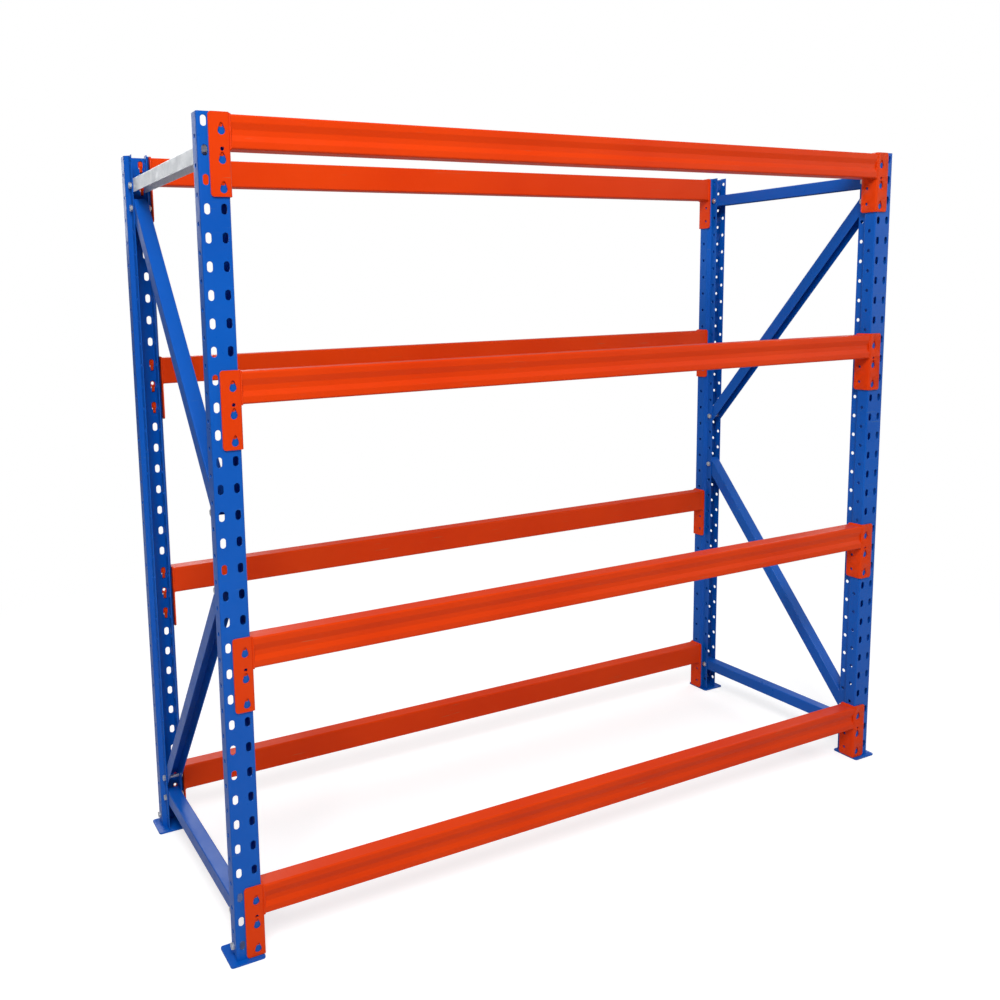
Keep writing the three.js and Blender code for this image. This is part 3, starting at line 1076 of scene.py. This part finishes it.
# ---------------------------------------------------------------------------
# Bracing: channels rolled from thin strip, with a bolt hole punched at each end,
# set between the uprights' necks. Two lie level and two run as diagonals.
# ---------------------------------------------------------------------------
BRACE_HEIGHT = 0.030
BRACE_WALL = 0.0015
BRACE_BEND = 0.0025
BRACE_END_MARGIN = 0.014
BRACE_SIDE_GAP = 0.0003
BRACE_SIDES = (0, 4)
brace_half_width = NECK_WIDTH / 2 - POST_WALL - BRACE_SIDE_GAP
brace_half_height = BRACE_HEIGHT / 2
brace_section = rolled_section(
    [
        (-brace_half_width, brace_half_height),
        (-brace_half_width, -brace_half_height),
        (brace_half_width, -brace_half_height),
        (brace_half_width, brace_half_height),
    ],
    BRACE_BEND,
)


def box_middle(node):
    low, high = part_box(node)
    return (low + high) / 2


def channel(name, span):
    """A channel with its bolt holes a span apart, its length along Z and its middle at 0."""
    reach = span / 2 + BRACE_END_MARGIN
    inner = span / 2 - BRACE_END_MARGIN
    ends = [0.0]
    for length, _ in brace_section:
        ends.append(ends[-1] + length)
    cells = []
    for low, high, hole_height in (
        (-reach, -inner, -span / 2),
        (-inner, inner, None),
        (inner, reach, span / 2),
    ):
        for number, start in enumerate(ends[:-1]):
            end = ends[number + 1]
            if number in BRACE_SIDES:
                across = brace_half_height if number == 0 else ends[-1] - brace_half_height
                if hole_height is None:
                    cells.append(flat_cell((start, low), (end, high)))
                else:
                    hole = slot_outline((across, hole_height), NECK_HOLE, NECK_HOLE)
                    cells.append(flat_cell((start, low), (end, high), outline=hole))
            else:
                cells.append(flat_cell((start, low), (end, high), across=BEND_COLUMNS))
    strip = join_pieces(cells, name)
    edit(strip, weld_cells)
    face_outwards(strip)
    roll_form(strip, brace_section)
    apply_modifier(strip, "SOLIDIFY", thickness=BRACE_WALL, offset=-1, use_even_offset=True)
    soften(strip, THIN_EDGE, segments=1)
    return strip


lay_down = Matrix.Rotation(-math.pi / 2, 4, "X")
for side in ("left", "right"):
    for index, run in enumerate(("brace_top", "diagonal_upper", "diagonal_lower", "brace_bottom")):
        first = box_middle(f"bolt_{side}_{2 * index + 1}")
        last = box_middle(f"bolt_{side}_{2 * index + 2}")
        if first.y > last.y:
            first, last = last, first
        reach = last - first
        node = f"{run}_{side}"
        piece = channel(node + "_channel", reach.length)
        tilt = Matrix.Rotation(math.atan2(reach.z, reach.y), 4, "X")
        piece.data.transform(Matrix.Translation((first + last) / 2) @ tilt @ lay_down)
        # Only the left top brace gets the pale finish with its painted highlight; the right one is
        # coated blue
        if node == "brace_top_left":
            stand_in(piece, node, "frames", zinc_and_painted_sheen)
        else:
            stand_in(piece, node, "frames", blue_coat)


# ---------------------------------------------------------------------------
# Bolts: hexagon bolts with chamfered heads and turned shanks, and plain hexagon
# nuts with the thread's end standing out of them, all zinc plated.
# ---------------------------------------------------------------------------
HEAD_HEIGHT = 0.0053
HEAD_RADIUS = 0.0075
SHANK_RADIUS = 0.004
HEX_CHAMFER = 0.0009
NUT_THINNER = 0.0012
BOLT_EDGE = 0.00025


def hexagon(middle, height):
    """A chamfered hexagon with its axis along X."""
    deselect_all()
    bpy.ops.mesh.primitive_cylinder_add(vertices=6, radius=HEAD_RADIUS, depth=height)
    head = bpy.context.object
    head.data.transform(Matrix.Rotation(math.pi / 2, 4, "Z"))
    head.data.transform(Matrix.Rotation(math.pi / 2, 4, "Y"))
    face_x = height / 2

    def at_outer_face(first, second):
        return first.x > face_x - MERGE_DISTANCE and second.x > face_x - MERGE_DISTANCE

    bevel_edges(head, at_outer_face, HEX_CHAMFER, 2)
    head.data.transform(Matrix.Translation((middle, 0, 0)))
    return head


def turned_bar(start, end, radius, sides=24):
    deselect_all()
    bpy.ops.mesh.primitive_cylinder_add(vertices=sides, radius=radius, depth=end - start)
    bar = bpy.context.object
    bar.data.transform(Matrix.Rotation(math.pi / 2, 4, "Y"))
    bar.data.transform(Matrix.Translation(((start + end) / 2, 0, 0)))
    return bar


def hexagon_bolt(name, overall):
    """A bolt with its nut, its middle at 0, its head towards -X."""
    reach = overall / 2
    head = hexagon(reach - HEAD_HEIGHT / 2, HEAD_HEIGHT)
    head.data.transform(HALF_TURN)
    nut_height = HEAD_HEIGHT - NUT_THINNER
    nut = hexagon(reach - NUT_THINNER - nut_height / 2, nut_height)
    shank = turned_bar(HEAD_HEIGHT / 2 - reach, reach, SHANK_RADIUS)
    piece = join_pieces([head, nut, shank], name)
    soften(piece, BOLT_EDGE, segments=1)
    return piece


long_low, long_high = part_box("bolt_left_1")
long_bolt = hexagon_bolt("bolt_pattern", long_high.x - long_low.x)
short_bolt = hexagon_bolt("foot_bolt_pattern", bolt_high.x - bolt_low.x)
bolt_nodes = [f"bolt_{side}_{number}" for side in ("left", "right") for number in range(1, 9)]
for face in ("front", "rear"):
    for side in ("left", "right"):
        bolt_nodes.append(f"foot_bolt_{face}_{side}")
for node in bolt_nodes:
    pattern = short_bolt if node.startswith("foot") else long_bolt
    turn = HALF_TURN if box_middle(node).x > 0 else Matrix.Identity(4)
    piece = copied(pattern, node + "_zinc", Matrix.Translation(box_middle(node)) @ turn)
    stand_in(piece, node, "frames", zinc_plate)
for pattern in (long_bolt, short_bolt):
    bpy.data.objects.remove(pattern)
